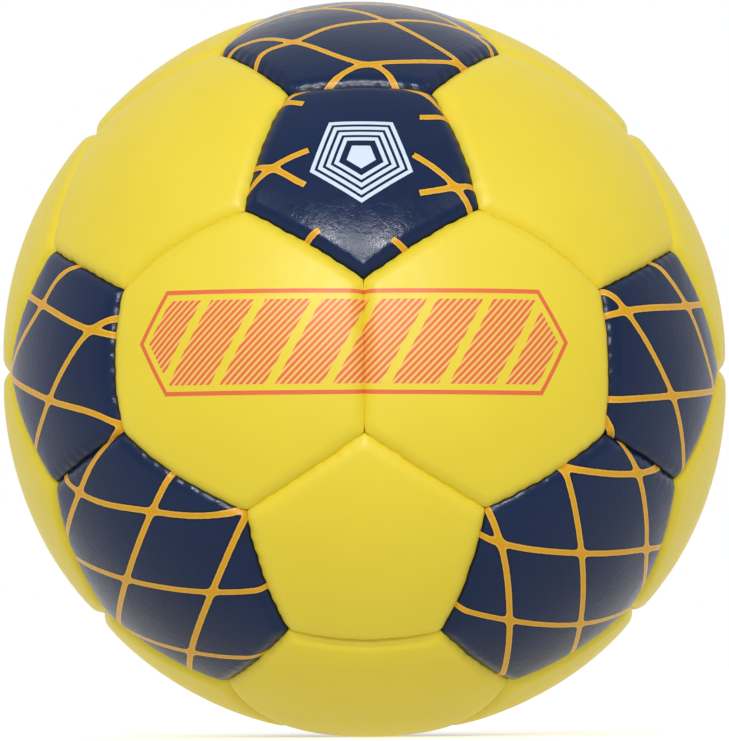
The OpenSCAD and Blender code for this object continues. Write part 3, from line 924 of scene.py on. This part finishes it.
def band_ink(tree, place, base, height, rough, grit):
    """A long six-sided band across the two middle panels: a frame round slanting blocks of fine hatching.

    Coral screen ink on a paler ground, the coral worn a little by the grit. Two sides are level and four
    slant, and a point's reach is how far outside the nearest it lies. The hatching runs at 45 degrees.
    """
    across, up, unprinted = marks(tree, "band")
    u = add(tree, "Math", across, -BAND_U, operation="ADD")
    v = add(tree, "Math", up, -BAND_V, operation="ADD")
    u_off, v_off = (add(tree, "Math", c, operation="ABSOLUTE") for c in (u, v))
    level = add(tree, "Math", v_off, -BAND_HALF, operation="ADD")
    slant = add(tree, "Math", v_off, np.sin(BAND_SLANT), -BAND_POINT, operation="MULTIPLY_ADD")
    slant = add(tree, "Math", u_off, np.cos(BAND_SLANT), slant, operation="MULTIPLY_ADD")
    reach = add(tree, "Math", level, slant, operation="MAXIMUM")
    reach = add(tree, "Math", reach, unprinted, operation="ADD")
    frame_line = add(tree, "Math", reach, -FRAME_HALF, FRAME_HALF, operation="COMPARE")
    block = add(tree, "Math", v, -np.tan(BAND_SLANT), u, operation="MULTIPLY_ADD")
    block = add(tree, "Math", block, BLOCK / 2, operation="PINGPONG")
    block = add(tree, "Math", block, BLOCK_GAP / 2, operation="GREATER_THAN")
    inside = add(tree, "Math", reach, -BLOCK_INSET, operation="LESS_THAN")
    block = add(tree, "Math", block, inside, operation="MULTIPLY")
    hatch = add(tree, "Math", u, v, operation="SUBTRACT")
    hatch = add(tree, "Math", hatch, HATCH / 2**0.5, operation="PINGPONG")
    hatch = add(tree, "Math", hatch, HATCH_WIDE / 2**0.5, operation="LESS_THAN")
    hatch = add(tree, "Math", hatch, block, operation="MULTIPLY")
    line = add(tree, "Math", frame_line, hatch, operation="MAXIMUM")
    worn = add(tree, "MapRange", grit, 0.6, 0.75, 0.95, 0.7)
    ground = add(tree, "Math", block, 0.55, operation="MULTIPLY")
    base = add(tree, "MixRGB", ground, base, linear("#F2BC74"))
    coral = add(tree, "Math", line, worn, operation="MULTIPLY")
    base = add(tree, "MixRGB", coral, base, linear("#E2603E"))
    ink = add(tree, "Math", line, block, operation="MAXIMUM")
    height = add(tree, "Math", ink, BAND_THICK, height, operation="MULTIPLY_ADD")
    return base, height, rough


def woven(name, colour, shade, pitch):
    """A plain weave, dull and a little fuzzy: warp and weft as two crossed waves, the higher one on top."""
    material, tree, output = new_material(name)
    place = add(tree, "TexCoord").outputs["Object"]
    threads = {"Vector": place, "Scale": WAVE_REPEAT / (pitch * MM), "Distortion": 0.6}
    warp, weft = (add(tree, "TexWave", threads, bands_direction=way) for way in "XZ")
    weave = add(tree, "Math", warp, weft, operation="MAXIMUM")
    fuzz = add(tree, "TexNoise", {"Vector": place, "Scale": 1 / (0.4 * MM), "Detail": 3})
    height = add(tree, "Math", fuzz, 0.4, weave, operation="MULTIPLY_ADD")
    base = add(tree, "MixRGB", weave, linear(shade), linear(colour))
    rough = add(tree, "MapRange", fuzz, *NOISE, 0.82, 0.95)
    finish_surface(tree, output, base, rough, height, 0.15)
    return material


def foamed(name, colour, shade):
    """Latex foam, cut: chalky, with pores just under a millimetre apart that show darker."""
    material, tree, output = new_material(name)
    place = add(tree, "TexCoord").outputs["Object"]
    pore = add(tree, "TexVoronoi", {"Vector": place, "Scale": 1 / (0.8 * MM)})
    cloud = add(tree, "TexNoise", {"Vector": place, "Scale": 1 / (9 * MM), "Detail": 4})
    height = add(tree, "MapRange", pore, 0.1, 0.5, 0.0, 1.0)
    base = add(tree, "MixRGB", height, linear(shade), linear(colour))
    faint = add(tree, "Math", cloud, 0.3, operation="MULTIPLY")
    base = add(tree, "MixRGB", faint, base, linear(shade))
    rough = add(tree, "MapRange", cloud, *NOISE, 0.85, 0.95)
    finish_surface(tree, output, base, rough, height, 0.2)
    return material


def twisted(name, colour, shade):
    """Waxed polyester thread, with a soft sheen: a fine twist, darkened in its furrows."""
    material, tree, output = new_material(name)
    place = add(tree, "TexCoord").outputs["Object"]
    twist = {"Vector": place, "Scale": WAVE_REPEAT / (0.5 * MM), "Distortion": 1.5}
    turns = add(tree, "TexWave", twist, bands_direction="DIAGONAL")
    wax = add(tree, "TexNoise", {"Vector": place, "Scale": 1 / (2 * MM), "Detail": 3})
    base = add(tree, "MixRGB", turns, linear(shade), linear(colour))
    rough = add(tree, "MapRange", wax, *NOISE, 0.4, 0.6)
    finish_surface(tree, output, base, rough, turns, 0.08)
    return material


def rubber(name, colour, shade, roughness):
    """Moulded rubber: faint flow marks, talc in its pores and a dull sheen."""
    material, tree, output = new_material(name)
    place = add(tree, "TexCoord").outputs["Object"]
    flow = add(tree, "TexNoise", {"Vector": place, "Scale": 1 / (12 * MM), "Detail": 5, "Distortion": 0.6})
    pit = add(tree, "TexNoise", {"Vector": place, "Scale": 1 / (0.5 * MM), "Detail": 3})
    talc = add(tree, "MapRange", pit, 0.6, 0.8, 0.0, 0.35)
    base = add(tree, "MixRGB", flow, linear(colour), linear(shade))
    base = add(tree, "MixRGB", talc, base, linear("#9A9A98"))
    rough = add(tree, "MapRange", flow, *NOISE, roughness - 0.06, roughness + 0.08)
    finish_surface(tree, output, base, rough, pit, 0.04)
    return material


# The yellow leather is nearly smooth and satin, the navy one glossier and more deeply embossed. Along their
# seams both are painted with shade in their groove's tone.
YELLOW = {
    "colour": "#E9D338",
    "shade": "#E6CE34",
    "groove": "#F0DC20",
    "roughness": 0.45,
    "specular": 0.28,
    "depth": 0.006,
    "seam_shade": (0.3, 0.5),
}
NAVY = {
    "colour": "#0C2348",
    "shade": "#091F41",
    "groove": "#040508",
    "roughness": 0.19,
    "specular": 0.16,
    "depth": 0.04,
    "seam_shade": (0.6, 0.85),
}
yellow_leather = leather("yellow_pu_leather", **YELLOW)
banded_leather = leather("yellow_pu_leather_with_coral_band", printed=band_ink, **YELLOW)
netted_leather = leather("navy_pu_leather_with_gold_net", printed=net_ink, **NAVY)
badged_leather = leather("navy_pu_leather_with_pale_badge", printed=badge_ink, **NAVY)
backing = woven("polyester_backing_cloth", "#D9D3C2", "#A79F8B", 0.7)


# The object

for group, sides in ((HEXAGONS, 6), (PENTAGONS, 5)):
    for name, axis in group.items():
        navy = name in FRONT_TO_BACK or name in BACK_TO_FRONT
        if name in BADGE_PANELS:
            skin = badged_leather
        elif navy:
            skin = netted_leather
        else:
            skin = banded_leather if name in BAND_PANELS else yellow_leather
        piece = panel_piece(name, axis, sides, skin, backing)

foam = foamed("cut_latex_foam", "#EAE7DD", "#C8C3B4")
lining = woven("laminated_cotton_lining", "#DAD4C3", "#A9A18C", 0.9)
thread = twisted("waxed_polyester_thread", "#CDBE93", "#8E7F56")
black_rubber = rubber("moulded_black_rubber", "#242425", "#2C2C2D", 0.55)
INNER = {
    "hex_foam_pads": foam,
    "pent_foam_pads": foam,
    "hex_linings": lining,
    "pent_linings": lining,
    "seam_threads_hex_hex": thread,
    "seam_threads_hex_pent": thread,
    "bladder": rubber("butyl_bladder_rubber", "#2B2A2C", "#343335", 0.5),
    "balance_patch": black_rubber,
    "valve_patch": black_rubber,
    "valve_body": black_rubber,
    "valve_plug": rubber("latex_plug_rubber", "#C9B27A", "#BBA265", 0.45),
}
for node, material in INNER.items():
    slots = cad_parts[node].data.materials
    slots.clear()
    slots.append(material)


# The stage


# Half the floor's side, and the glow that it gives other surfaces. To the eye it is half a glowing white
# and half lit, at a level that makes the two white together wherever the ball throws no shadow.
FLOOR_HALF = 6.0
FLOOR_BOUNCE = (0.69, 0.69, 0.68, 1.0)
FLOOR_LIT = (1.75, 1.75, 1.75, 1.0)
WHITE = (1.0, 1.0, 1.0, 1.0)
# The strength of the light from all round.
SKY = 0.6
# Each lamp's power in watts, its width and height, and its place. All of them face the ball. The two shines
# give only highlights, those that the face of a large softbox leaves on gloss, and light nothing else.
LAMPS = {
    "upper_left_softbox": (3.6, 0.12, 0.12, (-0.39, -1.31, 0.83)),
    "upper_right_softbox": (3.6, 0.12, 0.12, (0.23, -1.35, 0.83)),
    "middle_softbox": (3.0, 0.16, 0.16, (-0.03, -1.53, 0.45)),
    "wide_shine": (18, 0.9, 0.4, (-0.08, -1.4, 0.85)),
    "low_shine": (8, 0.5, 0.24, (-0.03, -1.55, 0.4)),
    "left_broad_softbox": (1.4, 0.5, 0.5, (-0.94, -0.79, 1.03)),
    "right_broad_softbox": (1.4, 0.5, 0.5, (0.94, -0.79, 1.03)),
}
SHINES = ("wide_shine", "low_shine")
# The camera's sensor in mm, and how near and far it sees.
SENSOR = 36.0
SEES_FROM, SEES_TO = 0.05, 30


def looked_at(tree):
    """1 for rays that show the background to the eye, straight, in gloss or through glass; 0 for others."""
    path = add(tree, "LightPath").outputs
    seen = add(tree, "Math", path["Is Camera Ray"], path["Is Glossy Ray"], operation="MAXIMUM")
    return add(tree, "Math", seen, path["Is Transmission Ray"], operation="MAXIMUM")


def stand(data, axes, place):
    """Adds a lamp or the camera to the scene at a place, with its own X, Y and Z along the three axes."""
    holder = bpy.data.objects.new(data.name, data)
    bpy.context.scene.collection.objects.link(holder)
    turn = np.eye(4)
    turn[:3, :3] = np.transpose(axes)
    turn[:3, 3] = place
    holder.matrix_world = Matrix(turn.tolist())
    return holder


def make_floor():
    """A pale floor under the ball that looks white and keeps the ball's shadow."""
    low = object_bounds()[0][2]
    mesh = bpy.data.meshes.new("floor")
    corners = [(FLOOR_HALF * i, FLOOR_HALF * j, low) for i, j in ((-1, -1), (1, -1), (1, 1), (-1, 1))]
    mesh.from_pydata(corners, [], [(0, 1, 2, 3)])
    floor = bpy.data.objects.new("floor", mesh)
    bpy.context.scene.collection.objects.link(floor)
    material, tree, output = new_material("pale_floor")
    seen = looked_at(tree)
    bounce = add(tree, "Emission", {"Color": FLOOR_BOUNCE})
    lit = add(tree, "BsdfDiffuse", {"Color": FLOOR_LIT})
    white = add(tree, "MixShader", 0.5, lit, add(tree, "Emission", {"Color": WHITE}))
    white = add(tree, "MixShader", seen, bounce, white)
    tree.links.new(white.outputs[0], output.inputs["Surface"])
    mesh.materials.append(material)


def make_light():
    """Even light from all round, seen as white, and the lamps in front of the ball."""
    world = bpy.data.worlds.new("studio")
    bpy.context.scene.world = world
    world.use_nodes = True
    tree = world.node_tree
    tree.nodes.clear()
    level = add(tree, "MapRange", looked_at(tree), 0.0, 1.0, SKY, 1.0)
    sky = add(tree, "Background", {"Color": WHITE, "Strength": level})
    tree.links.new(sky.outputs[0], tree.nodes.new("ShaderNodeOutputWorld").inputs["Surface"])
    for name, (power, width, tall, place) in LAMPS.items():
        light = bpy.data.lights.new(name, "AREA")
        light.shape = "RECTANGLE"
        light.energy, light.size, light.size_y = power, width, tall
        z = unit(place)
        x = unit(np.cross((0, 0, 1), z))
        holder = stand(light, (x, np.cross(z, x), z), place)
        holder.visible_diffuse = name not in SHINES


def make_camera():
    """The photograph's camera: its lens follows from the ball's scale, its shift from the ball's place."""
    camera = bpy.data.cameras.new("camera")
    camera.sensor_fit = "HORIZONTAL"
    camera.sensor_width = SENSOR
    camera.lens = SENSOR * PX_PER_MM * CAMERA_FAR / IMAGE_W
    camera.shift_x = (IMAGE_W / 2 - BALL_PX[0]) / IMAGE_W
    camera.shift_y = (BALL_PX[1] - IMAGE_H / 2) / IMAGE_W
    camera.clip_start, camera.clip_end = SEES_FROM, SEES_TO
    bpy.context.scene.camera = stand(camera, VIEW, VIEW[2] * CAMERA_FAR * MM)
    bpy.context.scene.view_settings.view_transform = "Standard"


make_floor()
make_light()
make_camera()
